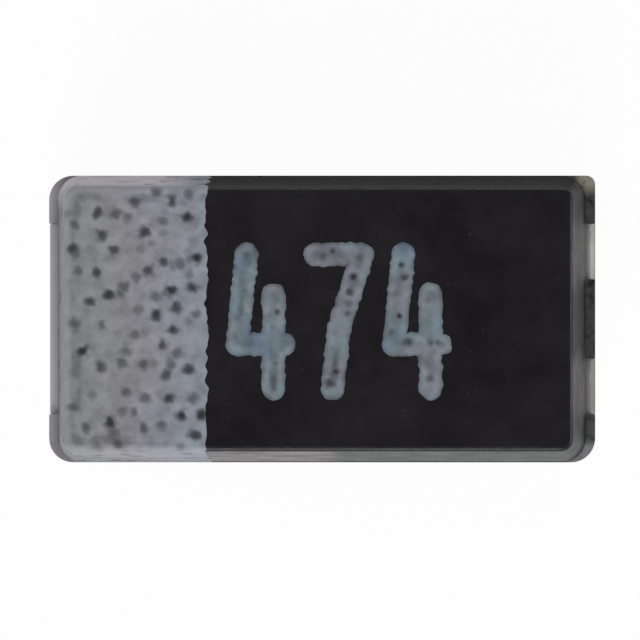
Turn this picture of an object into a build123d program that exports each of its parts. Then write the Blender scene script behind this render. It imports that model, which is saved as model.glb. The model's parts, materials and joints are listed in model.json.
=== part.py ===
from build123d import *
import os
from math import radians, sqrt, tan

os.makedirs("parts", exist_ok=True)

# Moulded chip tantalum capacitor in the 3216-18 case, in millimetres.
# The origin lies on the board under the middle of the part. The marked anode end is
# towards -X, the cathode end towards +X, and the board is at Z = 0.

# Overall sizes
length = 3.2
width = 1.68
height = 1.6

# Resin case
draft = 5.5  # slope of the moulded sides above and below the leads, in degrees
corner_radius = 0.14  # upright corners, at the parting line
top_edge_radius = 0.03
bottom_edge_radius = 0.03
ledge_reach = 0.05  # ledge past the case at each end, where the mould closes on the leads
ledge_corner_radius = 0.14
squared_corner_radius = 0.05  # the one ledge corner, rear right, that is left sharper
case_rise = 0.05  # gap between the board and the underside of the case

# Raised spot under the middle of the case, for the board's adhesive
spot_length = 0.9
spot_width = 0.8
spot_height = 0.03
spot_corner_radius = 0.1

# Lead frame
lead_thickness = 0.1
lead_height = 0.8  # board to the underside of the leads where they leave the case
lead_width = 1.12
bend_radius = 0.03  # inside radius of every fold
pad_length = 0.8  # solder pad, from the end of the part inwards
channel_clearance = 0.02  # beside each lead, where it is folded into the case
slot_width = 0.46  # between the two prongs of the cathode
slot_bottom = 0.42  # height over the board where the prongs join again
slot_inset = 0.27  # from the end of the part to the inner end of the slot
slot_end_radius = 0.08
shoulder_inset = 0.32  # from the end of the part to where the anode strip narrows
tongue_width = 0.5
tongue_end_radius = 0.08
paddle_width = 0.8  # the part of the cathode that carries the pellet
paddle_setback = 0.82  # from the anode face of the pellet to the end of the paddle

# Anode
anode_room = 0.88  # from the marked end of the part to the pellet
end_wall = 0.3  # resin between the folded cathode and the part that carries the pellet
pellet_width = 1.04
pellet_height = 0.78
pellet_edge_radius = 0.05  # along the pellet
pellet_chamfer = 0.04  # round its two ends
wire_diameter = 0.2
wire_wall = 0.54  # tantalum between the end of the wire and the cathode end of the pellet
wire_stub = 0.08  # from the shoulder of the anode strip to the end of the wire
weld_depth = 0.02  # how far the wire is pressed into the tongue by the weld
tongue_gap = 0.12  # between the tongue and the washer
washer_diameter = 0.46
washer_thickness = 0.08

# Layers of the cathode, from the pellet outwards
electrolyte_thickness = 0.03
carbon_thickness = 0.01
silver_thickness = 0.02
coat_setback = 0.12  # from the anode face of the pellet to the edge of the carbon
coat_step = 0.04  # from the edge of the carbon to the edge of the silver
adhesive_thickness = 0.02

# Laser-marked band
band_length = 0.895  # from the end of the case, at the parting line
band_depth = 0.012

# Levels and places that follow
lead_top = lead_height + lead_thickness
case_length = length - 2 * ledge_reach
electrolyte_growth = electrolyte_thickness
carbon_growth = electrolyte_growth + carbon_thickness
silver_growth = carbon_growth + silver_thickness

wire_radius = wire_diameter / 2
wire_height = lead_height - wire_radius + weld_depth
lead_end = length / 2
carrier_outside = lead_end - lead_thickness - end_wall
pellet_end = carrier_outside - lead_thickness - adhesive_thickness - silver_growth
pellet_start = anode_room - lead_end
shoulder = -lead_end + shoulder_inset
tongue_end = pellet_start - washer_thickness - tongue_gap
wire_start = shoulder + wire_stub
carrier_top = (
    wire_height + pellet_height / 2 + silver_growth + adhesive_thickness + lead_thickness
)

# Path of a lead through the middle of its thickness. It leaves the case level, is folded
# down along the drafted end, and is folded again under the case. The outermost point of
# the upper fold is the end of the part.
fold_radius = bend_radius + lead_thickness / 2
upper_turn = 90 + draft
lead_middle = lead_height + lead_thickness / 2
fold_centre = lead_end - bend_radius - lead_thickness
upper_corner = fold_centre + fold_radius * tan(radians(upper_turn / 2))
lower_corner = upper_corner - (lead_middle - lead_thickness / 2) * tan(radians(draft))
pad_end = lead_end - pad_length
outer_path = [
    (upper_corner, lead_middle),
    (lower_corner, lead_thickness / 2),
    (pad_end, lead_thickness / 2),
]

carrier_middle = carrier_outside - lead_thickness / 2
paddle_middle = carrier_top - lead_thickness / 2
paddle_end = pellet_start + paddle_setback
carrier_path = [
    (paddle_end, paddle_middle),
    (carrier_middle, paddle_middle),
    (carrier_middle, lead_middle),
]

# Side view of the whole cathode strip
with BuildSketch(Plane.XZ) as cathode_profile:
    with BuildLine():
        FilletPolyline(*carrier_path, *outer_path, radius=fold_radius)
    trace(line_width=lead_thickness)

# Side view of the whole anode strip, drawn at the cathode end and mirrored
with BuildSketch(Plane.XZ) as anode_profile:
    with BuildLine():
        FilletPolyline((-tongue_end, lead_middle), *outer_path, radius=fold_radius)
    trace(line_width=lead_thickness)
    mirror(about=Plane.YZ, mode=Mode.REPLACE)

# Cathode terminal: a stamped and folded strip with two prongs where it leaves the case
with BuildPart() as cathode_terminal:
    extrude(cathode_profile.sketch, amount=lead_width / 2, both=True)
    # The slot between the prongs, seen from the end
    with BuildSketch(Plane.YZ.offset(lead_end - slot_inset)):
        with BuildLine():
            half_slot = slot_width / 2
            FilletPolyline(
                (-half_slot, lead_top),
                (-half_slot, slot_bottom),
                (half_slot, slot_bottom),
                (half_slot, lead_top),
                radius=slot_end_radius,
            )
            Line((half_slot, lead_top), (-half_slot, lead_top))
        make_face()
    extrude(amount=slot_inset, mode=Mode.SUBTRACT)
    # The carrier above the level of the prongs is narrower than they are
    with BuildSketch(Plane.XY.offset(lead_top)):
        with Locations((paddle_end, 0)):
            carrier_reach = carrier_outside + bend_radius - paddle_end
            Rectangle(carrier_reach, lead_width, align=(Align.MIN, Align.CENTER))
            Rectangle(
                carrier_reach,
                paddle_width,
                align=(Align.MIN, Align.CENTER),
                mode=Mode.SUBTRACT,
            )
    extrude(amount=carrier_top - lead_top, mode=Mode.SUBTRACT)
cathode_terminal.part.label = "cathode_terminal"

# Anode terminal: the same strip without the slot, narrowed to a tongue for the wire
with BuildPart() as anode_terminal:
    extrude(anode_profile.sketch, amount=lead_width / 2, both=True)
    with BuildSketch(Plane.XY.offset(lead_height)):
        with Locations((shoulder, 0)):
            Rectangle(tongue_end - shoulder, lead_width, align=(Align.MIN, Align.CENTER))
            Rectangle(
                tongue_end - shoulder,
                tongue_width,
                align=(Align.MIN, Align.CENTER),
                mode=Mode.SUBTRACT,
            )
    extrude(amount=lead_thickness, mode=Mode.SUBTRACT)
    tongue_edges = anode_terminal.edges().filter_by(Axis.Z).group_by(Axis.X)[-1]
    fillet(tongue_edges, radius=tongue_end_radius)
    # Groove that the weld presses into the underside of the tongue
    with BuildSketch(Plane.YZ.offset(wire_start)):
        with Locations((0, wire_height)):
            Circle(wire_radius)
    extrude(amount=tongue_end - wire_start, mode=Mode.SUBTRACT)
anode_terminal.part.label = "anode_terminal"

# Anode wire, from its weld under the tongue into the pellet
with BuildPart() as anode_wire:
    with BuildSketch(Plane.YZ.offset(wire_start)):
        with Locations((0, wire_height)):
            Circle(wire_radius)
    extrude(amount=pellet_end - wire_wall - wire_start)
anode_wire.part.label = "anode_wire"

# Washer round the wire, against the pellet
with BuildPart() as wire_washer:
    with BuildSketch(Plane.YZ.offset(pellet_start - washer_thickness)):
        with Locations((0, wire_height)):
            Circle(washer_diameter / 2)
            Circle(wire_radius, mode=Mode.SUBTRACT)
    extrude(amount=washer_thickness)
wire_washer.part.label = "wire_washer"


def pellet_block(start, growth, chamfer_start):
    # The pellet's block, grown evenly, from the given start to past the cathode end.
    # The growth of a chamfer keeps the layer on it as thick as on the sides.
    with BuildPart() as block:
        with BuildSketch(Plane.YZ.offset(start)):
            with Locations((0, wire_height)):
                RectangleRounded(
                    pellet_width + 2 * growth,
                    pellet_height + 2 * growth,
                    pellet_edge_radius + growth,
                )
        extrude(amount=pellet_end + growth - start)
        end_faces = block.faces().filter_by(Axis.X).sort_by(Axis.X)
        end_edges = end_faces[-1].edges()
        if chamfer_start:
            end_edges += end_faces[0].edges()
        chamfer(end_edges, length=pellet_chamfer + growth * (2 - sqrt(2)))
    return block.part


bare_block = pellet_block(pellet_start, 0, True)
electrolyte_block = pellet_block(
    pellet_start - electrolyte_growth, electrolyte_growth, True
)
carbon_start = pellet_start + coat_setback
carbon_block = pellet_block(carbon_start, carbon_growth, False)
silver_start = carbon_start + coat_step
silver_block = pellet_block(silver_start, silver_growth, False)

# Sintered tantalum pellet, with the hole that the wire fills
with BuildPart() as tantalum_pellet:
    add(bare_block)
    add(anode_wire.part, mode=Mode.SUBTRACT)
tantalum_pellet.part.label = "tantalum_pellet"

# Manganese dioxide over the whole pellet, up to the washer
with BuildPart() as electrolyte_coat:
    add(electrolyte_block)
    add(bare_block, mode=Mode.SUBTRACT)
    add(anode_wire.part, mode=Mode.SUBTRACT)
    add(wire_washer.part, mode=Mode.SUBTRACT)
electrolyte_coat.part.label = "electrolyte_coat"

# Graphite over five sides
with BuildPart() as carbon_coat:
    add(carbon_block)
    add(electrolyte_block, mode=Mode.SUBTRACT)
carbon_coat.part.label = "carbon_coat"

# Silver paint over the graphite
with BuildPart() as silver_coat:
    add(silver_block)
    add(carbon_block, mode=Mode.SUBTRACT)
    add(electrolyte_block, mode=Mode.SUBTRACT)
silver_coat.part.label = "silver_coat"

# Conductive adhesive between the silver and the inside of the cathode carrier
with BuildPart() as silver_adhesive:
    with BuildSketch(Plane.XZ):
        with Locations((paddle_end, lead_top)):
            Rectangle(
                carrier_middle - paddle_end,
                paddle_middle - lead_top,
                align=(Align.MIN, Align.MIN),
            )
    extrude(amount=paddle_width / 2, both=True)
    add(silver_block, mode=Mode.SUBTRACT)
    add(cathode_terminal.part, mode=Mode.SUBTRACT)
silver_adhesive.part.label = "silver_adhesive"


def upper_half(inset):
    # The case above the leads, with every outer face moved inwards by the inset
    with BuildPart() as form:
        with BuildSketch(Plane.XY.offset(lead_top)):
            RectangleRounded(
                case_length - 2 * inset, width - 2 * inset, corner_radius - inset
            )
        extrude(amount=height - inset - lead_top, taper=draft)
        top_edges = form.faces().sort_by(Axis.Z)[-1].edges()
        fillet(top_edges, radius=top_edge_radius - inset)
    return form.part


# The field of colour that the laser leaves at the anode end, over the top and the sides
with BuildPart() as polarity_band:
    add(upper_half(0))
    add(upper_half(band_depth), mode=Mode.SUBTRACT)
    split(bisect_by=Plane.YZ.offset(band_length - case_length / 2), keep=Keep.BOTTOM)
polarity_band.part.label = "polarity_band"

# Resin case, moulded round everything above
with BuildPart() as moulded_case:
    add(upper_half(0))
    # The layer of the leads, with a ledge at each end
    with BuildSketch(Plane.XY.offset(lead_height)) as ledge_outline:
        Rectangle(length, width)
        squared = ledge_outline.vertices().group_by(Axis.X)[-1].sort_by(Axis.Y)[-1]
        others = ledge_outline.vertices().filter_by(lambda corner: corner != squared)
        fillet(others, radius=ledge_corner_radius)
        sharper = ledge_outline.vertices().group_by(Axis.X)[-1].sort_by(Axis.Y)[-1]
        fillet(sharper, radius=squared_corner_radius)
    extrude(amount=lead_thickness)
    # The case below the leads
    with BuildSketch(Plane.XY.offset(lead_height)):
        RectangleRounded(case_length, width, corner_radius)
    extrude(amount=lead_height - case_rise, dir=(0, 0, -1), taper=draft)
    fillet(moulded_case.faces().sort_by(Axis.Z)[0].edges(), radius=bottom_edge_radius)
    # Raised spot for the board's adhesive
    with BuildSketch(Plane.XY.offset(case_rise - spot_height)):
        RectangleRounded(spot_length, spot_width, spot_corner_radius)
    extrude(amount=spot_height)
    # Channels for the folded leads, below the ledge
    for profile in (cathode_profile, anode_profile):
        with BuildSketch(Plane.XZ):
            add(profile.sketch)
            with Locations((0, lead_height)):
                Rectangle(
                    2 * length,
                    lead_height,
                    align=(Align.CENTER, Align.MAX),
                    mode=Mode.INTERSECT,
                )
        extrude(amount=lead_width / 2 + channel_clearance, both=True, mode=Mode.SUBTRACT)
    # Gaps in the ledge that the leads lay straight in before they were folded
    prong_width = (lead_width - slot_width) / 2
    with BuildSketch(Plane.XY.offset(lead_height)):
        with Locations((fold_centre, -lead_width / 2), (fold_centre, slot_width / 2)):
            Rectangle(length, prong_width, align=(Align.MIN, Align.MIN))
        with Locations((-fold_centre, 0)):
            Rectangle(length, lead_width, align=(Align.MAX, Align.CENTER))
    extrude(amount=lead_thickness, mode=Mode.SUBTRACT)
    # Room for everything that the resin is moulded round
    for enclosed in (
        cathode_terminal,
        anode_terminal,
        anode_wire,
        wire_washer,
        tantalum_pellet,
        electrolyte_coat,
        carbon_coat,
        silver_coat,
        silver_adhesive,
        polarity_band,
    ):
        add(enclosed.part, mode=Mode.SUBTRACT)
moulded_case.part.label = "moulded_case"

export_step(moulded_case.part, "parts/moulded_case.step")
export_step(polarity_band.part, "parts/polarity_band.step")
export_step(cathode_terminal.part, "parts/cathode_terminal.step")
export_step(anode_terminal.part, "parts/anode_terminal.step")
export_step(anode_wire.part, "parts/anode_wire.step")
export_step(wire_washer.part, "parts/wire_washer.step")
export_step(tantalum_pellet.part, "parts/tantalum_pellet.step")
export_step(electrolyte_coat.part, "parts/electrolyte_coat.step")
export_step(carbon_coat.part, "parts/carbon_coat.step")
export_step(silver_coat.part, "parts/silver_coat.step")
export_step(silver_adhesive.part, "parts/silver_adhesive.step")
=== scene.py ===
import bmesh
import bpy
import json
import math
import random
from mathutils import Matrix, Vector, noise

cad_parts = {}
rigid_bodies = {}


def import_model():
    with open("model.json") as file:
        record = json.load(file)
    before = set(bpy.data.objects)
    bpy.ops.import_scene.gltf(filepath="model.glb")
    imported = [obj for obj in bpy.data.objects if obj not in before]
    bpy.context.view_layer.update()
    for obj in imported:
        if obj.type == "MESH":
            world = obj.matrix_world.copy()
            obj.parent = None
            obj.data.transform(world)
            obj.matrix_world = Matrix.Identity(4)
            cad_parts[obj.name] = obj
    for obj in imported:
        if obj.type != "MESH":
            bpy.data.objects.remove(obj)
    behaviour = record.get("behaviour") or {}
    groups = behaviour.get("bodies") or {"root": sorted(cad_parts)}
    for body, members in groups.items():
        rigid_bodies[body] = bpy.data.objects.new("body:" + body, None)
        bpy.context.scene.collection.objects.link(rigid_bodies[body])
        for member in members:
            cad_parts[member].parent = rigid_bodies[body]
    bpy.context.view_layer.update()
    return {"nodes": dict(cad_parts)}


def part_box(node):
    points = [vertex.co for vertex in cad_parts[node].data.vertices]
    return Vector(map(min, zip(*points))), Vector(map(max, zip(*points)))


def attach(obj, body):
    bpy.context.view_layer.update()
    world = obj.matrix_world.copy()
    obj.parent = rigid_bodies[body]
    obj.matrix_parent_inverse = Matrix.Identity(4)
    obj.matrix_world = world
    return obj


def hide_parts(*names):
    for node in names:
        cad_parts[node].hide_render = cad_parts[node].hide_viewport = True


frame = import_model()

perMetre = 1000  # pieces are modelled in millimetres and brought down to metres when finished
weldDistance = 0.00002
samePlace = 0.001  # millimetres within which two places count as one
orderFrom = (-2.17, -3.73, 2.91)  # off to one side, where no two points are equally far away


def cornersOf(node):
    low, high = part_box(node)
    return low * perMetre, high * perMetre


caseLow, caseHigh = cornersOf("moulded_case")
bandLow, bandHigh = cornersOf("polarity_band")
cathodeLow, cathodeHigh = cornersOf("cathode_terminal")
anodeHigh = cornersOf("anode_terminal")[1]


# Selecting and finishing, as used on every piece

def clearSelection():
    for item in bpy.data.objects:
        item.select_set(False)


def makeActive(piece):
    clearSelection()
    piece.select_set(True)
    bpy.context.view_layer.objects.active = piece


def selectAll(kind="FACE"):
    bpy.ops.mesh.select_mode(type=kind)
    bpy.ops.mesh.select_all(action="SELECT")


def openForEdit(piece, kind="FACE"):
    makeActive(piece)
    bpy.ops.object.mode_set(mode="EDIT")
    selectAll(kind)


def pick(piece, kind, wanted):
    bpy.ops.mesh.select_mode(type=kind)
    bpy.ops.mesh.select_all(action="DESELECT")
    cage = bmesh.from_edit_mesh(piece.data)
    items = {"VERT": cage.verts, "EDGE": cage.edges, "FACE": cage.faces}[kind]
    for item in items:
        if wanted(item):
            item.select_set(True)
    cage.select_flush_mode()
    bmesh.update_edit_mesh(piece.data)


def drawOut(*shift):
    bpy.ops.mesh.extrude_region_move(TRANSFORM_OT_translate={"value": shift})


def closeEdit(piece):
    bpy.ops.mesh.select_all(action="SELECT")
    bpy.ops.mesh.remove_doubles(threshold=weldDistance)
    bpy.ops.mesh.select_all(action="SELECT")
    bpy.ops.mesh.normals_make_consistent(inside=False)
    bpy.ops.object.mode_set(mode="OBJECT")
    for vertex in piece.data.vertices:  # faces that meet then lie in the very same plane
        vertex.co = [round(part, 5) for part in vertex.co]


def applyModifier(piece, kind, **settings):
    makeActive(piece)
    modifier = piece.modifiers.new(kind.lower(), kind)
    for name, value in settings.items():
        setattr(modifier, name, value)
    bpy.ops.object.modifier_apply(modifier=modifier.name)


def putInOrder(piece):
    # A boolean gives the same mesh each run only where its points come in the same order
    openForEdit(piece)
    bpy.context.scene.cursor.location = orderFrom
    bpy.ops.mesh.sort_elements(type="CURSOR_DISTANCE", elements={"VERT", "EDGE", "FACE"})
    bpy.ops.object.mode_set(mode="OBJECT")


def joinBy(piece, other, operation):
    putInOrder(piece)
    putInOrder(other)
    applyModifier(piece, "BOOLEAN", operation=operation, solver="EXACT", object=other)
    putInOrder(piece)
    bpy.data.objects.remove(other)


def addToScene(name, data):
    item = bpy.data.objects.new(name, data)
    bpy.context.scene.collection.objects.link(item)
    return item


def addPlate(name, centre, size, facing="up"):
    clearSelection()
    turn = math.radians(90) if facing == "end" else 0
    bpy.ops.mesh.primitive_plane_add(size=1, location=centre, rotation=(0, turn, 0))
    plate = bpy.context.object
    plate.name = name
    plate.scale = (size[0], size[1], 1)
    bpy.ops.object.transform_apply(location=True, rotation=True, scale=True)
    return plate


def addBox(name, low, high):
    size = [high[0] - low[0], high[1] - low[1]]
    box = addPlate(name, ((low[0] + high[0]) / 2, (low[1] + high[1]) / 2, low[2]), size)
    openForEdit(box)
    drawOut(0, 0, high[2] - low[2])
    closeEdit(box)
    return box


def finishPiece(piece, name, material, slot, *nodes):
    # Down to metres, with the place in the mesh, and on to the part's one body
    makeActive(piece)
    piece.name = name
    piece.data.name = name
    bpy.ops.transform.resize(value=[1 / perMetre] * 3, center_override=(0, 0, 0))
    bpy.ops.object.transform_apply(location=True, rotation=True, scale=True)
    piece.data.materials.clear()
    piece.data.materials.append(material)
    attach(piece, "root")
    if nodes:
        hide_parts(*nodes)
    print("made", name, "with", len(piece.data.polygons), "faces")


# The lead frame: two strips, drawn out and folded along their path

leadFrame = {
    "thickness": 0.1,
    "top": bandLow.z,        # the band starts at the parting line, level with the leads
    "foldRadius": 0.08,      # middle of the metal
    "foldSteps": 12,
    "draft": 5.5,            # degrees, the slope of the case that the leads lie along
    "padLength": 0.8,
    "prongGap": 0.46,        # between the two prongs of the cathode
    "gapBottom": 0.42,
    "gapInset": 0.27,
    "gapRadius": 0.08,
    "paddleWidth": 0.8,
    "endWall": 0.3,          # resin between the folded end and the part that carries the pellet
    "shoulderInset": 0.32,   # where the anode strip narrows
    "tongueWidth": 0.5,
    "tongueRadius": 0.08,
    "stampedEdge": 0.008,    # rounding that stamping and plating leave
}
partEnd = caseHigh.x
partSide = caseHigh.y
leadWidth = cathodeHigh.y * 2
leadTop = leadFrame["top"]
leadBottom = leadTop - leadFrame["thickness"]
foldCentre = partEnd - leadFrame["foldRadius"] - leadFrame["thickness"] / 2


def outerPath():
    # Runs and turns from the inner end of the solder pad to the level run into the case
    radius = leadFrame["foldRadius"]
    slope = math.radians(leadFrame["draft"])
    lowerTurn = math.pi / 2 - slope
    upperTurn = math.pi / 2 + slope
    upperX = foldCentre + radius * math.tan(upperTurn / 2)
    lowerX = upperX - leadBottom * math.tan(slope)
    padRun = lowerX - radius * math.tan(lowerTurn / 2) - (partEnd - leadFrame["padLength"])
    shortening = radius * (math.tan(lowerTurn / 2) + math.tan(upperTurn / 2))
    return [(padRun, lowerTurn), (leadBottom / math.cos(slope) - shortening, upperTurn)]


def narrowEnd(strip, place, heading, width):
    # The end face is cut in three, and only its middle is drawn on
    ahead = Vector((math.cos(heading), 0, math.sin(heading)))

    def atEnd(face):
        middle = face.calc_center_median()
        return abs(face.normal.dot(ahead)) > 0.99 and abs((middle - place).dot(ahead)) < samePlace

    for side in (-1, 1):
        pick(strip, "FACE", atEnd)
        bpy.ops.mesh.bisect(plane_co=(0, side * width / 2, 0), plane_no=(0, 1, 0))
    pick(strip, "FACE", lambda face: atEnd(face) and abs(face.calc_center_median().y) < width / 2)


def drawStrip(name, width, path):
    # path holds (run, turn) pairs, and a width where the strip narrows
    thickness = leadFrame["thickness"]
    radius = leadFrame["foldRadius"]
    place = Vector((partEnd - leadFrame["padLength"], 0, thickness / 2))
    heading = 0
    strip = addPlate(name, place, (thickness, width), "end")
    openForEdit(strip)
    for run, turn in path:
        if run == "narrow":
            narrowEnd(strip, place, heading, turn)
            continue
        if run:
            step = Vector((math.cos(heading), 0, math.sin(heading))) * run
            drawOut(*step)
            place += step
        if turn:
            side = 1 if turn > 0 else -1
            across = Vector((-math.sin(heading), 0, math.cos(heading))) * side
            centre = place + across * radius
            bpy.ops.mesh.spin(steps=leadFrame["foldSteps"], angle=abs(turn), center=centre,
                              axis=(0, side, 0))  # with no window, spin turns the other way
            heading += turn
            place = centre + Vector((math.sin(heading), 0, -math.cos(heading))) * side * radius
    closeEdit(strip)
    return strip


def mirrorToAnode(piece):
    openForEdit(piece)
    bpy.ops.transform.resize(value=(-1, 1, 1), center_override=(0, 0, 0))
    closeEdit(piece)


def cathodeStrip():
    half = leadFrame["thickness"] / 2
    radius = leadFrame["foldRadius"]
    carrierX = partEnd - leadFrame["thickness"] - leadFrame["endWall"] - half
    paddleZ = cathodeHigh.z - half
    path = outerPath() + [
        (foldCentre - carrierX - radius, 0),
        ("narrow", leadFrame["paddleWidth"]),
        (0, -math.pi / 2),
        (paddleZ - leadTop + half - 2 * radius, math.pi / 2),
        (carrierX - radius - cathodeLow.x, 0),
    ]
    strip = drawStrip("cathodeStrip", leadWidth, path)
    # The gap between the prongs, with round corners where they join again
    inset = leadFrame["gapInset"]
    rise = leadTop - leadFrame["gapBottom"]
    gap = addPlate("gap", (partEnd - inset, 0, leadTop - rise / 2),
                   (rise, leadFrame["prongGap"]), "end")
    openForEdit(gap)
    pick(gap, "VERT", lambda corner: corner.co.z < leadTop - rise / 2)
    bpy.ops.mesh.bevel(offset=leadFrame["gapRadius"], segments=8, affect="VERTICES")
    pick(gap, "VERT", lambda corner: corner.co.z > leadTop - rise / 2 and corner.co.z > leadBottom)
    bpy.ops.transform.translate(value=(0, 0, half))  # clear of the top of the strip
    selectAll()
    drawOut(inset + half, 0, 0)
    closeEdit(gap)
    joinBy(strip, gap, "DIFFERENCE")
    return strip


def anodeStrip():
    path = outerPath() + [
        (foldCentre - partEnd + leadFrame["shoulderInset"], 0),
        ("narrow", leadFrame["tongueWidth"]),
        (partEnd - leadFrame["shoulderInset"] + anodeHigh.x, 0),
    ]
    strip = drawStrip("anodeStrip", leadWidth, path)
    tongueEnd = -anodeHigh.x

    def uprightAtTip(edge):
        ends = [corner.co for corner in edge.verts]
        atTip = all(abs(end.x - tongueEnd) < samePlace and end.z > leadBottom - samePlace for end in ends)
        return atTip and abs(ends[0].y - ends[1].y) < samePlace

    # Round corners at the end of the tongue
    openForEdit(strip)
    pick(strip, "EDGE", uprightAtTip)
    bpy.ops.mesh.bevel(offset=leadFrame["tongueRadius"], segments=6, affect="EDGES")
    closeEdit(strip)
    mirrorToAnode(strip)
    return strip


def softenStamping(strip):
    applyModifier(strip, "BEVEL", width=leadFrame["stampedEdge"], segments=2,
                  limit_method="ANGLE", angle_limit=math.radians(40))
    makeActive(strip)
    bpy.ops.object.shade_smooth_by_angle(angle=math.radians(35))


cathodeLead = cathodeStrip()
anodeLead = anodeStrip()
print("lead frame folded")


# The moulded case

mouldedCase = {
    "draft": leadFrame["draft"],
    "cornerRadius": 0.14,
    "cornerSteps": 10,
    "edgeRadius": 0.03,
    "edgeSteps": 4,
    "ledgeReach": 0.05,
    "squaredCorner": 0.05,   # rear right corner of the ledge
    "rise": 0.05,            # board to the underside
    "spot": (0.9, 0.8),      # raised for the board's adhesive
    "spotCorner": 0.1,
    "markStandsProud": 0.003,  # the laser's marks stand a little above the resin round them
    "channelClearance": 0.02,
}
caseEnd = partEnd - mouldedCase["ledgeReach"]
topInset = (bandHigh.z - leadTop) * math.tan(math.radians(mouldedCase["draft"]))
topHalfWidth = partSide - topInset


def roundedPlate(name, size, height, radius, steps):
    plate = addPlate(name, (0, 0, height), size)
    openForEdit(plate, "VERT")
    bpy.ops.mesh.bevel(offset=radius, segments=steps, affect="VERTICES")
    selectAll()
    return plate


def draftedBlock(name, start, end, inset=0):
    # One half of the mould: the outline is inset by the draft as it rises
    case = mouldedCase
    size = (2 * (caseEnd - inset), 2 * (partSide - inset))
    block = roundedPlate(name, size, start, case["cornerRadius"] - inset, case["cornerSteps"])
    draft = math.radians(case["draft"])
    drawOut(0, 0, 0)
    bpy.ops.mesh.inset(thickness=abs(end - start) * math.tan(draft), depth=end - start)
    roundness = case["edgeRadius"] * math.tan((math.pi / 2 - draft) / 2)
    bpy.ops.mesh.bevel(offset=roundness, segments=case["edgeSteps"], affect="EDGES")
    closeEdit(block)
    return block


def ledge():
    case = mouldedCase
    slab = addPlate("ledge", (0, 0, leadBottom), (2 * partEnd, 2 * partSide))
    openForEdit(slab)
    pick(slab, "VERT", lambda corner: corner.co.x < 0 or corner.co.y < 0)
    bpy.ops.mesh.bevel(offset=case["cornerRadius"], segments=case["cornerSteps"], affect="VERTICES")
    pick(slab, "VERT", lambda v: v.co.x > partEnd - samePlace and v.co.y > partSide - samePlace)
    bpy.ops.mesh.bevel(offset=case["squaredCorner"], segments=5, affect="VERTICES")
    selectAll()
    drawOut(0, 0, leadTop - leadBottom)
    closeEdit(slab)
    return slab


def channel():
    # Room beside and behind a folded lead, up to the underside of the ledge
    path = outerPath()
    wallRun = path[1][0]
    width = leadWidth + 2 * mouldedCase["channelClearance"]
    cutter = drawStrip("channel", width, [path[0], (wallRun + 2 * leadFrame["thickness"], 0)])
    openForEdit(cutter)
    bpy.ops.mesh.bisect(plane_co=(0, 0, leadBottom), plane_no=(0, 0, 1), use_fill=True, clear_outer=True)
    closeEdit(cutter)
    return cutter


def bandSurface(edge):
    # Top and three sides of the case at the marked end, as an open sheet
    surface = draftedBlock("bandSurface", leadTop, bandHigh.z)
    openForEdit(surface)
    bpy.ops.mesh.bisect(plane_co=(edge, 0, 0), plane_no=(1, 0, 0), clear_outer=True)
    pick(surface, "FACE", lambda face: face.normal.z < -0.9)
    bpy.ops.mesh.delete(type="FACE")
    bpy.ops.object.mode_set(mode="OBJECT")
    return surface


laserBand = {
    "cell": 0.0105,          # size of the sheet's cells
    "depth": 0.012,          # how far the mark reaches into the resin
    "ragged": 0.02,          # how far its inner edge wanders
    "raggedReach": 0.07,
    "raggedWaves": ((0.11, 1, 3), (0.045, 0.8, 5)),  # wavelength, share and seed
    "lip": 0.03,             # beyond the recess the mark lies thin on the resin
    "foam": 0.0012,          # roughness of the marked surface
    "pitGap": 0.096,         # least distance between two pits
    "topPits": 60,
    "sidePits": 34,
    "tries": 3000,
    "margin": 0.03,          # along the edge of the top, without pits
    "grades": ((0.5, 0.92), (0.82, 0.62), (1, 0.34)),  # share of pits up to here, and their darkness
    "gradeSpread": (0.88, 1.1),
    "twins": 0.45,           # share of pits with a fainter one close by
    "twinDistance": (0.055, 0.08),
    "twinDarkness": (0.25, 0.65),
    "pitRadius": (0.024, 0.041),
    "pitDepth": 0.0095,
    "pitReach": 2.4,         # of the largest radius, past which a pit presses nothing
    "pitWall": (0.3, 1.35),  # in radii, from the rim of the bottom to the untouched surface
    "seed": 11,
}


def cellLines(low, high, cell):
    count = max(1, round((high - low) / cell))
    return [low + (high - low) * step / count for step in range(1, count)]


def layGrid(surface):
    low, high = bandLow, bandHigh
    cell = laserBand["cell"]
    rows = [("x", (1, 0, 0), cellLines(low.x, high.x, cell)),
            ("y", (0, 1, 0), cellLines(low.y, high.y, cell)),
            ("z", (0, 0, 1), cellLines(low.z, high.z - mouldedCase["edgeRadius"], 2 * cell))]
    openForEdit(surface)
    for axis, direction, places in rows:
        for place in places:
            bpy.ops.mesh.select_all(action="SELECT")
            bpy.ops.mesh.bisect(plane_co=Vector(direction) * place, plane_no=direction, threshold=0.00001)
    bpy.ops.object.mode_set(mode="OBJECT")


def wander(place, wavelength, seed):
    return noise.noise(place / wavelength + Vector((seed, 2.7 * seed, -1.3 * seed)))


def raggedEdge(surface):
    band = laserBand
    for vertex in surface.data.vertices:
        nearness = 1 + (vertex.co.x - bandHigh.x) / band["raggedReach"]
        if nearness <= 0:
            continue
        along = Vector((0, vertex.co.y, vertex.co.z))
        shift = sum(share * wander(along, wave, seed) for wave, share, seed in band["raggedWaves"])
        vertex.co.x += band["ragged"] * shift * nearness * nearness


def smoothStep(low, high, value):
    share = min(1, max(0, (value - low) / (high - low)))
    return share * share * (3 - 2 * share)


def newPit(draw, centre, darkness):
    smallest, largest = laserBand["pitRadius"]
    along = Vector((draw.uniform(-1, 1), draw.uniform(-1, 1), draw.uniform(-1, 1))).normalized()
    return {
        "centre": centre,
        "radius": smallest + (largest - smallest) * (0.4 * draw.random() + 0.6 * darkness),
        "stretch": along * draw.uniform(0, 0.5),
        "dark": darkness,
        "seed": draw.uniform(0, 50),
    }


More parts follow.
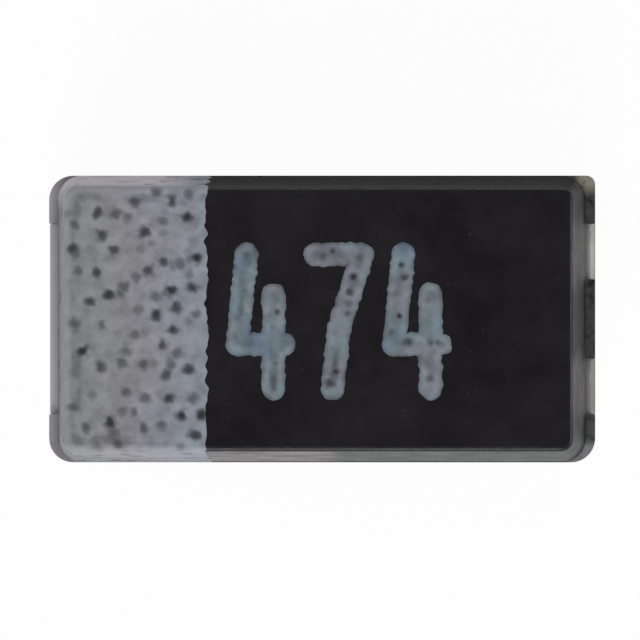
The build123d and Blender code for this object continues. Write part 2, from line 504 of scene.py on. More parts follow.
def choosePits(surface, draw):
    # Places on the top and sides, none nearer to another than the least gap
    band = laserBand
    farX = caseEnd - topInset - band["margin"]
    belowRim = bandHigh.z - 2 * mouldedCase["edgeRadius"]
    sides = [vertex.co.copy() for vertex in surface.data.vertices if vertex.co.z < belowRim]
    pits = []
    for wanted, onTop in ((band["topPits"], True), (band["sidePits"], False)):
        placed = 0
        for attempt in range(band["tries"]):
            if onTop:
                depth = (topHalfWidth - band["margin"]) * draw.uniform(-1, 1)
                centre = Vector((draw.uniform(-farX, bandHigh.x - 0.01), depth, bandHigh.z))
            else:
                centre = sides[draw.randrange(len(sides))]
            if any((centre - pit["centre"]).length < band["pitGap"] for pit in pits):
                continue
            grade = draw.random()
            darkness = next(dark for share, dark in band["grades"] if grade < share)
            pits.append(newPit(draw, centre, darkness * draw.uniform(*band["gradeSpread"])))
            placed += 1
            if placed == wanted:
                break
    for pit in list(pits):
        if draw.random() < band["twins"]:
            turn = draw.uniform(0, 2 * math.pi)
            apart = draw.uniform(*band["twinDistance"])
            beside = pit["centre"] + Vector((math.cos(turn), math.sin(turn), 0)) * apart
            pits.append(newPit(draw, beside, draw.uniform(*band["twinDarkness"])))
    return pits


def backBand(sheet):
    # Full depth over the recess, and thin beyond it
    deep = sheet.vertex_groups.new(name="deep")
    deep.add([v.index for v in sheet.data.vertices if v.co.x < recessEdge], 1, "REPLACE")
    share = mouldedCase["markStandsProud"] / laserBand["depth"]
    applyModifier(sheet, "SOLIDIFY", thickness=laserBand["depth"], offset=-1,
                  vertex_group="deep", thickness_vertex_group=share)
    sheet.vertex_groups.clear()


def pressPits(sheet):
    # Pits go into the outer face alone, and how deep each point lies is kept for the material
    band = laserBand
    draw = random.Random(band["seed"])
    pits = choosePits(sheet, draw)
    outward = [normal.vector.copy() for normal in sheet.data.vertex_normals]
    backBand(sheet)
    mesh = sheet.data
    amounts = [0.0] * len(mesh.vertices)
    reach = band["pitRadius"][1] * band["pitReach"]
    for pit in pits:
        for vertex in mesh.vertices:
            away = vertex.co - pit["centre"]
            if abs(away.x) > reach or abs(away.y) > reach or abs(away.z) > reach:
                continue
            along = away.dot(pit["stretch"])
            length = math.sqrt(max(0, away.length_squared - along * along * 1.6))
            radius = pit["radius"] * (1 + 0.55 * wander(away, 0.03, pit["seed"]))
            amount = pit["dark"] * (1 - smoothStep(*band["pitWall"], length / radius))
            amounts[vertex.index] = max(amounts[vertex.index], amount)
    layer = mesh.attributes.new("pit", "FLOAT", "POINT")
    layer.data.foreach_set("value", amounts)
    for index, normal in enumerate(outward):  # Solidify puts the back's points after these
        vertex = mesh.vertices[index]
        foam = band["foam"] * (wander(vertex.co, 0.03, 8) - 0.5)
        pressed = band["pitDepth"] * (1 if vertex.co.x < recessEdge - band["cell"] else 0.08)
        vertex.co -= normal * (pressed * amounts[index] - min(0, foam))


bandSheet = bandSurface(bandHigh.x)
layGrid(bandSheet)
raggedEdge(bandSheet)
print("band sheet laid out with", len(bandSheet.data.polygons), "cells")

recessEdge = bandHigh.x - laserBand["lip"]
recess = bandSurface(recessEdge)
standOff = 0.01
applyModifier(recess, "SOLIDIFY", thickness=laserBand["depth"] + standOff,
              offset=(standOff - laserBand["depth"]) / (standOff + laserBand["depth"]))


def caseBody():
    case = mouldedCase
    proud = case["markStandsProud"]
    body = draftedBlock("caseBody", leadTop, caseHigh.z - proud, proud)
    joinBy(body, ledge(), "UNION")
    joinBy(body, draftedBlock("lowerHalf", leadBottom, case["rise"]), "UNION")
    spot = roundedPlate("spot", case["spot"], caseLow.z, case["spotCorner"], 6)
    drawOut(0, 0, 2 * (case["rise"] - caseLow.z))
    closeEdit(spot)
    joinBy(body, spot, "UNION")
    joinBy(body, channel(), "DIFFERENCE")
    anodeChannel = channel()
    mirrorToAnode(anodeChannel)
    joinBy(body, anodeChannel, "DIFFERENCE")
    # Gaps in the ledge that the strips lay straight in before they were folded
    inner = leadFrame["prongGap"] / 2
    outer = leadWidth / 2
    past = partEnd + leadFrame["thickness"]
    gaps = [(foldCentre, past, inner, outer), (foldCentre, past, -outer, -inner),
            (-past, -foldCentre, -outer, outer)]
    for nearX, farX, nearY, farY in gaps:
        joinBy(body, addBox("gap", (nearX, nearY, leadBottom), (farX, farY, leadTop)), "DIFFERENCE")
    return body


resinCase = caseBody()
joinBy(resinCase, recess, "DIFFERENCE")
joinBy(resinCase, addToScene("cathodeRoom", cathodeLead.data.copy()), "DIFFERENCE")
joinBy(resinCase, addToScene("anodeRoom", anodeLead.data.copy()), "DIFFERENCE")


def roomFor(node):
    # What the resin flowed round: the outer form of a solid inside, in millimetres
    room = addToScene(node + "Room", frame["nodes"][node].data.copy())
    openForEdit(room, "VERT")
    bpy.ops.transform.resize(value=[perMetre] * 3, center_override=(0, 0, 0))
    bpy.ops.mesh.remove_doubles(threshold=weldDistance)
    bpy.ops.mesh.convex_hull()
    closeEdit(room)
    return room


for node in ("silver_coat", "carbon_coat", "electrolyte_coat", "wire_washer", "anode_wire"):
    joinBy(resinCase, roomFor(node), "DIFFERENCE")
adhesiveLow, adhesiveHigh = cornersOf("silver_adhesive")
intoMetal = Vector((1, 0, 1)) * leadFrame["thickness"] / 2  # past the inside of the fold
joinBy(resinCase, addBox("adhesiveRoom", adhesiveLow, adhesiveHigh + intoMetal), "DIFFERENCE")
print("case moulded round the leads and the pellet")

pressPits(bandSheet)
softenStamping(cathodeLead)
softenStamping(anodeLead)


# Generic digits in place of the lettering, as the laser draws them: two tracks to a stroke

digitMarks = {
    "text": "474",
    "left": -0.545,
    "bottom": -0.475,
    "height": 0.92,
    "width": 0.41,
    "pitch": 0.457,
    "halfStroke": 0.069,
    "cell": 0.0075,
    "depth": 0.006,
    "pulse": 0.052,        # spacing of the laser's pulses along a stroke
    "scallop": 0.0028,
    "edgeWander": 0.009,
    "dullEdge": (-0.026, 0.004),  # from the outline, where the mark turns dull
    "strokeReach": 0.1,    # past the box of a stroke's middle line
    "sink": 0.0012,        # how far the edge and the dull places lie lower
    "grain": 0.0004,
    "seam": 0.031,         # half width of the dull seam between the two tracks
    "dotGap": 0.085,       # between spots that the laser burnt darker
    "dotRadius": (0.02, 0.036),
    "dotDarkness": (0.2, 0.35, 0.55, 0.8),
    "seed": 5,
    "margin": 0.02,        # round the digits, on the plate that they are cut from
}
# Strokes on a box of 1 by 1, each a run of points
digitStrokes = {
    "4": [[(0.2, 1), (0, 0.33), (1, 0.33)], [(0.78, 0.7), (0.78, 0)]],
    "7": [[(0, 1), (1, 1), (0.5, 0.45), (0.36, 0)]],
}


def strokeRuns():
    marks = digitMarks
    edge = marks["halfStroke"]
    wide = marks["width"] - 2 * edge
    tall = marks["height"] - 2 * edge
    bottom = marks["bottom"] + edge
    runs = []
    for place, digit in enumerate(marks["text"]):
        left = marks["left"] + place * marks["pitch"] + edge
        for number, stroke in enumerate(digitStrokes[digit]):
            points = [Vector((left + x * wide, bottom + y * tall)) for x, y in stroke]
            travelled = 0
            for start, end in zip(points, points[1:]):
                runs.append((start, end, travelled, 10 * place + number))
                travelled += (end - start).length
    return runs


def burntDots(draw):
    # Middle, radius and darkness of each darker spot
    marks = digitMarks
    dots = []
    for start, end, travelled, seed in markRuns:
        length = (end - start).length
        ahead = (end - start) / length
        aside = Vector((-ahead.y, ahead.x)) * marks["seam"]
        place = draw.uniform(0, marks["dotGap"])
        while place < length:
            centre = start + ahead * place + aside * draw.uniform(-0.7, 0.7)
            dots.append((centre, draw.uniform(*marks["dotRadius"]), draw.choice(marks["dotDarkness"])))
            place += marks["dotGap"] * draw.uniform(0.6, 2.1)
    return dots


markRuns = strokeRuns()
markDots = burntDots(random.Random(digitMarks["seed"]))


def laserTrack(x, y):
    # How far outside the mark a place lies, below zero inside it, and how dull the mark is there
    marks = digitMarks
    here = Vector((x, y))
    onTop = Vector((x, y, 0))
    reach = marks["strokeReach"]
    level = 1
    dull = 0
    for start, end, travelled, seed in markRuns:
        if abs(x - (start.x + end.x) / 2) > abs(end.x - start.x) / 2 + reach:
            continue
        if abs(y - (start.y + end.y) / 2) > abs(end.y - start.y) / 2 + reach:
            continue
        length = (end - start).length
        share = min(1, max(0, (here - start).dot(end - start) / (length * length)))
        away = (here - start.lerp(end, share)).length
        along = travelled + share * length
        spot = Vector((along, seed, 0))
        pulse = math.cos(2 * math.pi * along / marks["pulse"])
        edge = marks["halfStroke"] + marks["scallop"] * pulse * (0.6 + wander(spot, 0.12, 2))
        level = min(level, away - edge - marks["edgeWander"] * wander(onTop, 0.05, seed))
        strength = 0.12 + 0.36 * smoothStep(0, 0.35, wander(spot, 0.2, 4))
        drift = away + 0.02 * wander(spot, 0.06, 6)
        dull = max(dull, strength * (1 - smoothStep(0.1, 1, drift / marks["seam"])))
    for centre, radius, darkness in markDots:
        if abs(x - centre.x) < 1.5 * radius and abs(y - centre.y) < 1.5 * radius:
            away = (here - centre).length * (1 + 0.4 * wander(onTop, 0.03, 9))
            dull = max(dull, darkness * (1 - smoothStep(0.2, 1.3, away / radius)))
    blotch = smoothStep(-0.1, 0.6, wander(onTop, 0.1, 31))
    return level, min(1, dull + 0.04 + 0.3 * blotch + 0.42 * smoothStep(*marks["dullEdge"], level))


def markedDigits():
    marks = digitMarks
    margin = marks["margin"]
    wide = (len(marks["text"]) - 1) * marks["pitch"] + marks["width"] + 2 * margin
    tall = marks["height"] + 2 * margin
    centre = (marks["left"] - margin + wide / 2, marks["bottom"] - margin + tall / 2, caseHigh.z)
    clearSelection()
    bpy.ops.mesh.primitive_grid_add(x_subdivisions=round(wide / marks["cell"]),
                                    y_subdivisions=round(tall / marks["cell"]), size=1, location=centre)
    digits = bpy.context.object
    digits.scale = (wide, tall, 1)
    bpy.ops.object.transform_apply(location=True, rotation=True, scale=True)
    openForEdit(digits)
    pick(digits, "FACE", lambda face: laserTrack(*face.calc_center_median().xy)[0] > 0)
    bpy.ops.mesh.delete(type="FACE")
    # Edge points slide on to the true edge of the mark
    cage = bmesh.from_edit_mesh(digits.data)
    tiny = marks["cell"] / 5
    for vertex in cage.verts:
        if vertex.is_boundary:
            x, y = vertex.co.xy
            level = laserTrack(x, y)[0]
            slopeX = laserTrack(x + tiny, y)[0] - level
            slopeY = laserTrack(x, y + tiny)[0] - level
            slope = Vector((slopeX, slopeY)) / tiny
            if slope.length > 0.3:
                move = slope.normalized() * max(-1, min(1, level / slope.length / marks["cell"]))
                vertex.co.xy -= move * marks["cell"] * 0.8
    bmesh.update_edit_mesh(digits.data)
    bpy.ops.mesh.select_all(action="SELECT")
    drawOut(0, 0, -marks["depth"])
    closeEdit(digits)
    layer = digits.data.attributes.new("pit", "FLOAT", "POINT")
    for vertex in digits.data.vertices:
        level, dull = laserTrack(*vertex.co.xy)
        layer.data[vertex.index].value = dull
        if vertex.co.z > caseHigh.z - marks["depth"] / 2:
            vertex.co.z -= marks["sink"] * smoothStep(-0.02, 0, level) + marks["sink"] * dull
            vertex.co.z -= marks["grain"] * (1 + wander(vertex.co, 0.03, 21))
    return digits


digitMarksPiece = markedDigits()
print("digits marked with", len(digitMarksPiece.data.polygons), "faces")


# Materials read Object coordinates, brought to millimetres by one Mapping node. A field is the output
# of a node, and what is made from it is added to the same tree.

def isField(value):
    return hasattr(value, "is_linked")


def newNode(kind, *values):
    tree = next(value.id_data for value in values if isField(value))
    return tree.nodes.new("ShaderNode" + kind)


def feed(value, socket):
    if isField(value):
        socket.id_data.links.new(value, socket)
    else:
        socket.default_value = value


def startMaterial(name, **sockets):
    material = bpy.data.materials.new(name)
    material.use_nodes = True
    nodes = material.node_tree.nodes
    shader = nodes["Principled BSDF"]
    for socket, value in sockets.items():
        feed(value, shader.inputs[socket.replace("_", " ")])
    scaling = nodes.new("ShaderNodeMapping")
    feed([perMetre] * 3, scaling.inputs["Scale"])
    feed(nodes.new("ShaderNodeTexCoord").outputs["Object"], scaling.inputs["Vector"])
    return material, shader, scaling.outputs["Vector"]


def noiseField(place, wavelength, detail=2, roughness=0.5):
    field = newNode("TexNoise", place)
    feed(1 / wavelength, field.inputs["Scale"])
    feed(detail, field.inputs["Detail"])
    feed(roughness, field.inputs["Roughness"])
    feed(place, field.inputs["Vector"])
    return field.outputs["Fac"]


def speckField(place, spacing):
    field = newNode("TexVoronoi", place)
    feed(1 / spacing, field.inputs["Scale"])
    feed(place, field.inputs["Vector"])
    return field.outputs["Distance"]


def rampOver(amount, stops):
    ramp = newNode("ValToRGB", amount)
    elements = ramp.color_ramp.elements
    while len(elements) < len(stops):
        elements.new(0.5)
    for element, (position, colour) in zip(elements, stops):
        element.position = position
        element.color = (*colour, 1) if hasattr(colour, "__len__") else (colour, colour, colour, 1)
    feed(amount, ramp.inputs["Fac"])
    return ramp.outputs["Color"]


def patchyField(place, wavelength, detail, low, high):
    return rampOver(noiseField(place, wavelength, detail), [(0.3, low), (0.7, high)])


def blendColours(amount, first, second, mode="MIX"):
    mix = newNode("Mix", amount, first, second)
    mix.data_type = "RGBA"
    mix.blend_type = mode
    feed(amount, mix.inputs[0])
    for value, socket in ((first, mix.inputs[6]), (second, mix.inputs[7])):
        feed(value if isField(value) else (*value, 1), socket)
    return mix.outputs[2]


def calculate(operation, first, second=0.0, clamp=False):
    step = newNode("Math", first, second)
    step.operation = operation
    step.use_clamp = clamp
    feed(first, step.inputs[0])
    feed(second, step.inputs[1])
    return step.outputs["Value"]


def scaled(field, *others):
    for other in others:
        field = calculate("MULTIPLY", field, other)
    return field


def ragged(field, noiseOver, amount):
    # The field pushed to and fro by a noise
    return calculate("ADD", field, scaled(calculate("SUBTRACT", noiseOver, 0.5), amount))


def alongAxis(place, axis):
    split = newNode("SeparateXYZ", place)
    feed(place, split.inputs["Vector"])
    return split.outputs[axis]


def riseBetween(value, low, high):
    # 0 up to low and 1 from high on, where low may be the larger of the two
    step = newNode("MapRange", value)
    step.interpolation_type = "SMOOTHSTEP"
    feed(low, step.inputs["From Min"])
    feed(high, step.inputs["From Max"])
    feed(value, step.inputs["Value"])
    return step.outputs["Result"]


def mixShaders(share, first, second, surface):
    mix = newNode("MixShader", share)
    for value, socket in zip((share, first, second), mix.inputs):
        feed(value, socket)
    feed(mix.outputs["Shader"], surface)


def fromTopOutline(coordinates):
    # Millimetres from the outline of the top face, below zero inside it
    radius = mouldedCase["cornerRadius"] - topInset
    past = []
    for axis, half in (("X", caseEnd - topInset), ("Y", topHalfWidth)):
        away = calculate("ABSOLUTE", alongAxis(coordinates, axis))
        past.append(calculate("SUBTRACT", away, half - radius))
    squares = []
    for part in past:
        outer = calculate("MAXIMUM", part, 0.0)
        squares.append(scaled(outer, outer))
    corner = calculate("SQRT", calculate("ADD", *squares))
    inside = calculate("MINIMUM", calculate("MAXIMUM", *past), 0.0)
    return calculate("SUBTRACT", calculate("ADD", corner, inside), radius)


def addBump(shader, *layers):
    # Each layer is a height and its depth in millimetres
    below = None
    for height, depth in layers:
        bump = newNode("Bump", height)
        feed(1, bump.inputs["Strength"])
        feed(depth / perMetre, bump.inputs["Distance"])
        feed(height, bump.inputs["Height"])
        if below:
            feed(below, bump.inputs["Normal"])
        below = bump.outputs["Normal"]
    feed(below, shader.inputs["Normal"])


def shade(red, green, blue):
    # A colour as a paint program gives it, 0 to 255, in the linear values that shaders take
    parts = [part / 255 for part in (red, green, blue)]
    return tuple(part / 12.92 if part <= 0.04045 else ((part + 0.055) / 1.055) ** 2.4 for part in parts)


# From the middle of the part outwards, on resin and metal alike
ledgeStart = (caseEnd - 0.15, caseEnd - 0.09)
leadStart = (partEnd - 0.4, partEnd - 0.1)
markedHighlightZone = (partEnd - 0.045, partEnd - 0.01)  # where the marked end turns lighter: a painted highlight on the outer fold

blackResin = {
    "dark": shade(23, 21, 24),
    "light": shade(33, 31, 34),
    "filler": shade(60, 60, 64),
    "edge": shade(30, 29, 32),         # painted highlight, lighter towards the top's outline
    "ledge": shade(84, 83, 84),        # rough flash along the parting line
    "tabReflection": shade(95, 93, 96),         # painted reflection of the tinned leads on the resin wall above them
    # painted highlight on the ledge's front corners
    "frontCornerHighlight": shade(127, 127, 129),
    "edgeReach": 0.09,
    "marked": shade(138, 135, 139),    # where the laser caught the ledge, and a painted highlight at its rim
    "markedHighlight": shade(158, 154, 158),
    "olive": shade(156, 156, 140),     # thin flash at the squared corner
    "roughness": (0.27, 0.4),
    "grain": 0.0022,
}


def makeBlackResin():
    finish = blackResin
    material, shader, place = startMaterial("blackResin", Specular_IOR_Level=0.25)
    cloud = noiseField(place, 0.5, 4, 0.6)
    colour = rampOver(cloud, [(0.35, finish["dark"]), (0.65, finish["light"])])
    specks = rampOver(speckField(place, 0.045), [(0.06, 1.0), (0.2, 0.0)])
    sparse = rampOver(noiseField(place, 0.12, 2), [(0.5, 0.0), (0.7, 0.5)])
    filler = blendColours(1.0, specks, sparse, "MULTIPLY")
    colour = blendColours(filler, colour, finish["filler"])
    across, depth, height = [alongAxis(place, axis) for axis in "XYZ"]
    # Painted highlight: the resin lighter towards the outline of the top, high on the case
    edgeHighlight = scaled(riseBetween(fromTopOutline(place), -finish["edgeReach"], 0.0),
                    riseBetween(height, leadTop, bandHigh.z - 0.1), 0.6)
    colour = blendColours(edgeHighlight, colour, finish["edge"])
    # Painted reflection: the resin wall over each prong is lighter, as if it mirrored the lead
    prongMiddle = (leadWidth + leadFrame["prongGap"]) / 4
    fromLead = calculate("ABSOLUTE", calculate("SUBTRACT", calculate("ABSOLUTE", depth), prongMiddle))
    fromLead = ragged(fromLead, noiseField(place, 0.3, 4, 0.6), 0.35)
    tabReflection = scaled(riseBetween(across, caseEnd - 0.09, caseEnd - 0.06),
                  riseBetween(fromLead, 0.25, 0.08), riseBetween(height, leadTop, leadTop + 0.1),
                  rampOver(noiseField(place, 0.1, 3, 0.6), [(0.3, 0.45), (0.65, 1.0)]))
    colour = blendColours(tabReflection, colour, finish["tabReflection"])
    onLedge = scaled(riseBetween(height, leadBottom - 0.01, leadBottom),
                     riseBetween(height, leadTop + 0.01, leadTop))
    blotch = noiseField(place, 0.06, 3, 0.6)
    atEnds = riseBetween(calculate("ABSOLUTE", across), *ledgeStart)
    colour = blendColours(scaled(onLedge, atEnds, riseBetween(blotch, 0.2, 0.6)),
                          colour, finish["ledge"])
    towardsMark = scaled(across, -1.0)
    marked = scaled(onLedge, riseBetween(towardsMark, *ledgeStart), riseBetween(blotch, 0.2, 0.42))
    # Painted highlight at the outer rim of the marked ledge
    toEdge = blendColours(riseBetween(towardsMark, *markedHighlightZone), finish["marked"], finish["markedHighlight"])
    colour = blendColours(marked, colour, toEdge)
    flash = scaled(onLedge, riseBetween(across, partEnd - 0.13, partEnd - 0.08),
                   riseBetween(depth, partSide - 0.13, partSide - 0.04), riseBetween(blotch, 0.2, 0.5))
    colour = blendColours(flash, colour, finish["olive"])
    # Painted highlight: the ledge is lighter at its front corners alone
    frontCorner = scaled(onLedge, riseBetween(across, *ledgeStart),
                         riseBetween(depth, 0.14 - partSide, 0.08 - partSide))
    colour = blendColours(frontCorner, colour, finish["frontCornerHighlight"])
    feed(colour, shader.inputs["Base Color"])
    feed(patchyField(place, 0.2, 3, *finish["roughness"]), shader.inputs["Roughness"])
    addBump(shader, (noiseField(place, 0.16, 2), 0.003),
            (noiseField(place, 0.03, 3, 0.6), finish["grain"]))
    return material


laserGrey = {
    "green": shade(138, 142, 144),
    "neutral": shade(144, 144, 148),
    "lilac": shade(147, 145, 154),
    "blue": shade(144, 150, 160),
    "coolGrey": shade(135, 138, 148),    # these three on the digits
    "teal": shade(129, 144, 150),
    "deepBlue": shade(115, 131, 150),
    "pit": shade(40, 41, 46),
    "rimHighlight": shade(172, 172, 176),
    "rearWallPaintedLight": shade(200, 196, 201),   # painted light: the rear wall is made the brightest, up to near the inner edge
    "rim": 0.032,            # width of the painted highlight on the rounded edge of the top face
    "besideRim": 0.085,      # and a duller strip runs inside it
    "roughness": (0.62, 0.82),
}


def makeLaserGrey():
    finish = laserGrey
    material, shader, place = startMaterial("laserGrey", Specular_IOR_Level=0.25)
    across, height = [alongAxis(place, axis) for axis in "XZ"]
    # Greenish near the end of the case, and more lilac and blue towards the middle
    sweep = scaled(calculate("ADD", riseBetween(across, bandLow.x, bandHigh.x),
                             scaled(noiseField(place, 0.3, 2), 0.9)), 0.53)
    tint = rampOver(sweep, [
        (0.2, finish["green"]), (0.42, finish["neutral"]), (0.58, finish["lilac"]), (0.78, finish["blue"])])
    varied = rampOver(noiseField(place, 0.26, 2), [
        (0.4, finish["coolGrey"]), (0.55, finish["teal"]), (0.68, finish["deepBlue"])])
    onDigits = riseBetween(across, bandHigh.x + 0.02, bandHigh.x + 0.06)
    tint = blendColours(onDigits, tint, varied)
    mottle = rampOver(noiseField(place, 0.085, 3, 0.55), [(0.32, 0.7), (0.68, 1.02)])
    tint = blendColours(1.0, tint, mottle, "MULTIPLY")
    outline = fromTopOutline(place)
    # Painted highlight along the rounded edge of the top face
    rim = scaled(riseBetween(outline, -finish["rim"], -finish["rim"] / 2),
                 riseBetween(height, leadTop, bandHigh.z - 0.1))
    tint = blendColours(scaled(rim, 0.25), tint, finish["rimHighlight"])
    # A darker strip just inside the lighter rim
    darkStripInsideRim = scaled(riseBetween(outline, -finish["besideRim"] - 0.03, -finish["besideRim"] + 0.01),
                   riseBetween(outline, -finish["rim"], -finish["rim"] - 0.02),
                   riseBetween(noiseField(place, 0.16, 2), 0.38, 0.6))
    tint = blendColours(scaled(darkStripInsideRim, 0.4), tint, finish["pit"])
    # The mark is darker low on the sides, and most so on the end wall
    lowOnWalls = riseBetween(height, leadTop + 0.35, leadTop)
    onEnd = riseBetween(across, 0.12 - caseEnd, 0.07 - caseEnd)
    lowWallDarkness = calculate("ADD", scaled(onEnd, 0.38), 0.1)
    tint = blendColours(scaled(lowOnWalls, lowWallDarkness), tint, finish["pit"])
    # Painted light on the rear wall, most towards the end of the case
    rearWallLit = scaled(riseBetween(outline, -0.01, 0.02),
                    riseBetween(alongAxis(place, "Y"), topHalfWidth - 0.16, topHalfWidth + 0.01),
                    riseBetween(across, bandHigh.x - 0.04, bandHigh.x - 0.3),
                    riseBetween(noiseField(place, 0.3, 2), 0.2, 0.5))
    tint = blendColours(scaled(rearWallLit, 0.8), tint, finish["rearWallPaintedLight"])
    pitted = newNode("Attribute", place)
    pitted.attribute_name = "pit"
    colour = blendColours(pitted.outputs["Fac"], tint, finish["pit"])
    feed(colour, shader.inputs["Base Color"])
    feed(patchyField(place, 0.1, 2, *finish["roughness"]), shader.inputs["Roughness"])
    addBump(shader, (noiseField(place, 0.02, 3, 0.6), 0.0025))
    return material


matteTin = {
    "bright": shade(205, 204, 200),
    "dull": shade(174, 173, 168),
    "flash": shade(66, 65, 67),        # darker and less metallic on the lead's top, up to just past where it leaves the case
    "marked": shade(138, 135, 139),    # dulled by the laser at the marked end
    # painted highlight at the outer fold of the marked lead
    "markedHighlight": shade(160, 156, 160),
    "darkerFold": shade(92, 90, 88),      # darker on the upper fold, and most on the front prong
    "metallic": 0.82,
    "roughness": (0.34, 0.48),
}


def makeMatteTin():
    finish = matteTin
    material, shader, place = startMaterial("matteTin")
    patches = noiseField(place, 0.15, 4, 0.6)
    colour = rampOver(patches, [(0.35, finish["dull"]), (0.65, finish["bright"])])
    across, depth, height = [alongAxis(place, axis) for axis in "XYZ"]
    onTop = riseBetween(height, leadBottom + 0.02, leadTop - 0.02)
    # Darker and less metallic on the lead's top, up to just past the case wall
    nearWallEdge = ragged(across, noiseField(place, 0.09, 3), 0.04)
    darkNearWall = scaled(onTop, riseBetween(nearWallEdge, *leadStart),
                  riseBetween(nearWallEdge, caseEnd + 0.03, caseEnd + 0.016))
    towardsMark = scaled(across, -1.0)
    marked = scaled(riseBetween(height, leadBottom - 0.06, leadBottom + 0.02),
                    riseBetween(towardsMark, *leadStart))
    colour = blendColours(scaled(darkNearWall, 0.85), colour, finish["flash"])
    # Painted highlight at the outer fold of the marked lead
    toEdge = blendColours(riseBetween(towardsMark, *markedHighlightZone), finish["marked"], finish["markedHighlight"])
    colour = blendColours(marked, colour, toEdge)
    frontShare = calculate("ADD", scaled(riseBetween(depth, 0.1, -0.1), 0.3), 0.22)
    duller = scaled(riseBetween(height, leadBottom - 0.14, leadBottom),
                    riseBetween(across, *leadStart), frontShare)
    colour = blendColours(duller, colour, finish["darkerFold"])
    feed(colour, shader.inputs["Base Color"])
    dulledMetal = calculate("ADD", scaled(darkNearWall, 0.8), marked, clamp=True)
    feed(calculate("SUBTRACT", finish["metallic"], dulledMetal, clamp=True), shader.inputs["Metallic"])
    bare = patchyField(place, 0.08, 3, *finish["roughness"])
    feed(blendColours(dulledMetal, bare, (0.7, 0.7, 0.7)), shader.inputs["Roughness"])
    addBump(shader, (noiseField(place, 0.05, 3, 0.6), 0.002),
            (speckField(place, 0.018), 0.0012))
    return material


# The pieces inside keep their solids and get their own finishes
innerFinishes = {
    "anode_wire": ("drawnTantalum", shade(120, 122, 128), shade(92, 94, 102), 1.0, 0.35, 0.03),
    "wire_washer": ("washerPlastic", shade(222, 224, 220), shade(196, 199, 194), 0.0, 0.5, 0.06),
    "tantalum_pellet": ("sinteredTantalum", shade(74, 76, 82), shade(48, 49, 54), 0.6, 0.75, 0.02),
    "electrolyte_coat": ("manganeseDioxide", shade(38, 37, 39), shade(22, 21, 23), 0.0, 0.8, 0.03),
    "carbon_coat": ("graphitePaint", shade(46, 46, 48), shade(30, 30, 31), 0.0, 0.6, 0.04),
    "silver_coat": ("silverPaint", shade(196, 196, 192), shade(160, 160, 156), 0.7, 0.5, 0.03),
    "silver_adhesive": ("silverAdhesive", shade(176, 174, 166), shade(140, 138, 130), 0.6, 0.55, 0.05),
}


def makeInnerFinish(name, light, dark, metallic, roughness, grain):
    material, shader, place = startMaterial(name, Metallic=metallic)
    cloud = noiseField(place, 4 * grain, 3)
    feed(rampOver(cloud, [(0.35, dark), (0.65, light)]), shader.inputs["Base Color"])
    feed(patchyField(place, 2 * grain, 2, roughness - 0.1, roughness + 0.1), shader.inputs["Roughness"])
    addBump(shader, (noiseField(place, grain, 3, 0.6), grain / 10))
    return material


resinFinish = makeBlackResin()
laserFinish = makeLaserGrey()
tinFinish = makeMatteTin()
finishPiece(resinCase, "caseBody", resinFinish, "case_resin", "moulded_case")
finishPiece(bandSheet, "bandSkin", laserFinish, "band_print", "polarity_band")
finishPiece(digitMarksPiece, "markDigits", laserFinish, "band_print")
finishPiece(cathodeLead, "cathodeLead", tinFinish, "tinned_lead", "cathode_terminal")
finishPiece(anodeLead, "anodeLead", tinFinish, "tinned_lead", "anode_terminal")

for node, finish in innerFinishes.items():
    mesh = frame["nodes"][node].data
    mesh.materials.clear()
    mesh.materials.append(makeInnerFinish(*finish))
print("finishes given to all pieces")


# Floor, light and camera

studio = {
    "floorWidth": 0.5,         # metres from here on
    "floorColour": (0.86, 0.86, 0.87),
    "whiteForCamera": 0.96,    # the rest is lit floor, which keeps the shadow
    "reflectedShare": 0.92,    # of what the gloss shows of the floor, as the painted reflection below
    "paleReflectionLeft": (0.95, 0.89, 0.92),    # painted reflection, seen by glossy rays alone: pale in front, and a painted shadow beside and behind
    "greyReflectionRight": (0.54, 0.6, 0.565),
    "reflectedShadowBeside": (0.02, 0.02, 0.02),
    "reflectedShadowBehind": (0.03, 0.03, 0.03),
    "floorFar": (0.8, 0.8, 0.8),
    "farBeside": (0.26, 0.75),  # millimetres from the part, where the far floor begins and is reached
    "farBehind": (0.4, 1.8),
    "paleReflectionEdge": (0.08, 0.02),  # millimetres, where the pale painted reflection begins and is full
    "wallBlend": 0.3,          # millimetres inside the outline, over which the mirrored floor changes
    "skyLow": 0.75,
    "skyMiddle": 0.4,
    "skyHigh": 0.03,
    "skyBehind": 0.15,         # share of the low sky that is left behind the part
}


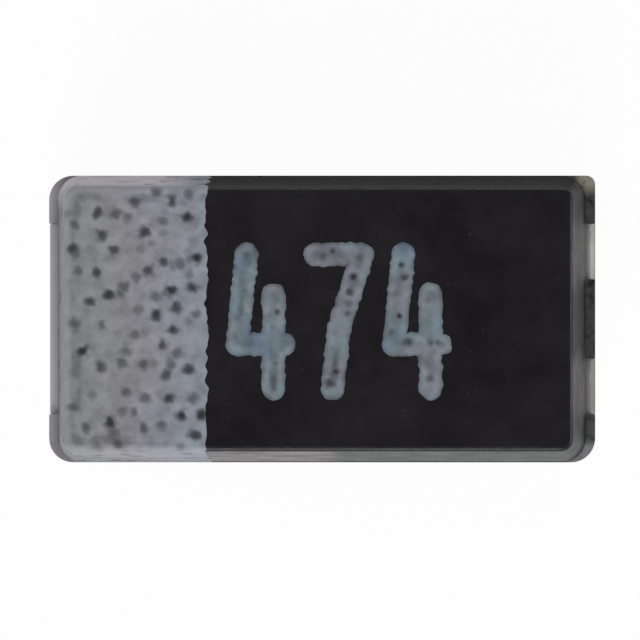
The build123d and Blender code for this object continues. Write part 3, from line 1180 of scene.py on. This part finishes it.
def makeFloor():
    clearSelection()
    bpy.ops.mesh.primitive_plane_add(size=studio["floorWidth"], location=(0, 0, 0))
    floor = bpy.context.object
    floor.name = "floor"
    material, shader, place = startMaterial("paleFloorPaintedReflection", Roughness=0.9, Specular_IOR_Level=0.0)
    feed((*studio["floorColour"], 1), shader.inputs["Base Color"])
    across, depth = [alongAxis(place, axis) for axis in "XY"]
    beside, behind = [calculate("ABSOLUTE", field) for field in (across, depth)]
    blend = studio["wallBlend"]
    # Painted reflection and painted shadow: glossy rays see a glow that is pale in front, grey-green to the
    # right, dark beside and behind the part, and lighter further off
    frontReflection = blendColours(riseBetween(across, *studio["paleReflectionEdge"]), studio["greyReflectionRight"], studio["paleReflectionLeft"])
    paintedReflection = blendColours(riseBetween(beside, partEnd - blend, partEnd),
                             studio["reflectedShadowBehind"], studio["reflectedShadowBeside"])
    paintedReflection = blendColours(riseBetween(depth, blend - partSide, -partSide), paintedReflection, frontReflection)
    far = calculate("MAXIMUM", riseBetween(beside, *[partEnd + away for away in studio["farBeside"]]),
                    riseBetween(behind, *[partSide + away for away in studio["farBehind"]]))
    paintedReflection = blendColours(far, paintedReflection, studio["floorFar"])
    glow = newNode("Emission", place)
    ray = newNode("LightPath", place).outputs
    feed(blendColours(ray["Is Camera Ray"], paintedReflection, (1, 1, 1)), glow.inputs["Color"])
    share = calculate("ADD", scaled(ray["Is Camera Ray"], studio["whiteForCamera"]),
                      scaled(ray["Is Glossy Ray"], studio["reflectedShare"]), clamp=True)
    mixShaders(share, shader.outputs["BSDF"], glow.outputs["Emission"],
               material.node_tree.nodes["Material Output"].inputs["Surface"])
    floor.data.materials.append(material)


def makeSky():
    world = bpy.data.worlds.new("studio")
    bpy.context.scene.world = world
    world.use_nodes = True
    nodes = world.node_tree.nodes
    sky = nodes["Background"]
    direction = nodes.new("ShaderNodeTexCoord").outputs["Generated"]
    heights = rampOver(alongAxis(direction, "Z"), [(0.0, studio["skyLow"]), (0.5, studio["skyMiddle"]),
                                                   (0.92, studio["skyHigh"])])
    dimmed = blendColours(1.0, heights, [studio["skyBehind"]] * 3, "MULTIPLY")
    behind = riseBetween(alongAxis(direction, "Y"), 0.1, 0.6)
    feed(blendColours(behind, heights, dimmed), sky.inputs["Color"])
    white = nodes.new("ShaderNodeBackground")
    feed((1, 1, 1, 1), white.inputs["Color"])
    forCamera = nodes.new("ShaderNodeLightPath").outputs["Is Camera Ray"]
    mixShaders(forCamera, sky.outputs["Background"], white.outputs["Background"],
               nodes["World Output"].inputs["Surface"])


# Each lamp: azimuth from the front, elevation, distance, width, and the share of a white card's
# brightness that it gives
studioLamps = {
    "frontLamp": (-10, 40, 0.06, 0.03, 0.38),
    "rightLamp": (80, 30, 0.06, 0.03, 0.14),
    "leftLamp": (-100, 35, 0.07, 0.03, 0.12),
    "rearLamp": (170, 35, 0.06, 0.03, 0.18),
}


def makeLamp(name, azimuth, elevation, distance, width, share):
    turn, lift = math.radians(azimuth), math.radians(elevation)
    back = Vector((math.sin(turn) * math.cos(lift), -math.cos(turn) * math.cos(lift), math.sin(lift)))
    light = bpy.data.lights.new(name, "AREA")
    light.size = width
    light.energy = share * (math.pi * distance) ** 2 / math.sin(lift)
    lamp = addToScene(name, light)
    lamp.location = back * distance
    lamp.rotation_euler = back.to_track_quat("Z", "Y").to_euler()
    lamp.visible_camera = False


photoCamera = {
    "lens": 1000,
    "sensor": 36,
    "frameWidth": 3.751,       # millimetres across the picture at the level of the leads
    "aim": (-0.0117, -0.0059),
    "lean": 1.5,               # degrees towards the cathode end
}


def makeCamera():
    setup = photoCamera
    data = bpy.data.cameras.new("photoCamera")
    data.lens = setup["lens"]
    data.sensor_width = setup["sensor"]
    distance = setup["frameWidth"] * setup["lens"] / setup["sensor"] / perMetre
    data.clip_start = distance / 100
    data.clip_end = distance * 20
    camera = addToScene("photoCamera", data)
    lean = math.radians(setup["lean"])
    aim = Vector((*setup["aim"], leadTop)) / perMetre
    camera.location = aim + Vector((math.sin(lean), 0, math.cos(lean))) * distance
    camera.rotation_euler = (0, lean, 0)
    bpy.context.scene.camera = camera


makeFloor()
makeSky()
for name, placing in studioLamps.items():
    makeLamp(name, *placing)
makeCamera()
bpy.context.scene.view_settings.view_transform = "Standard"
print("studio set up")
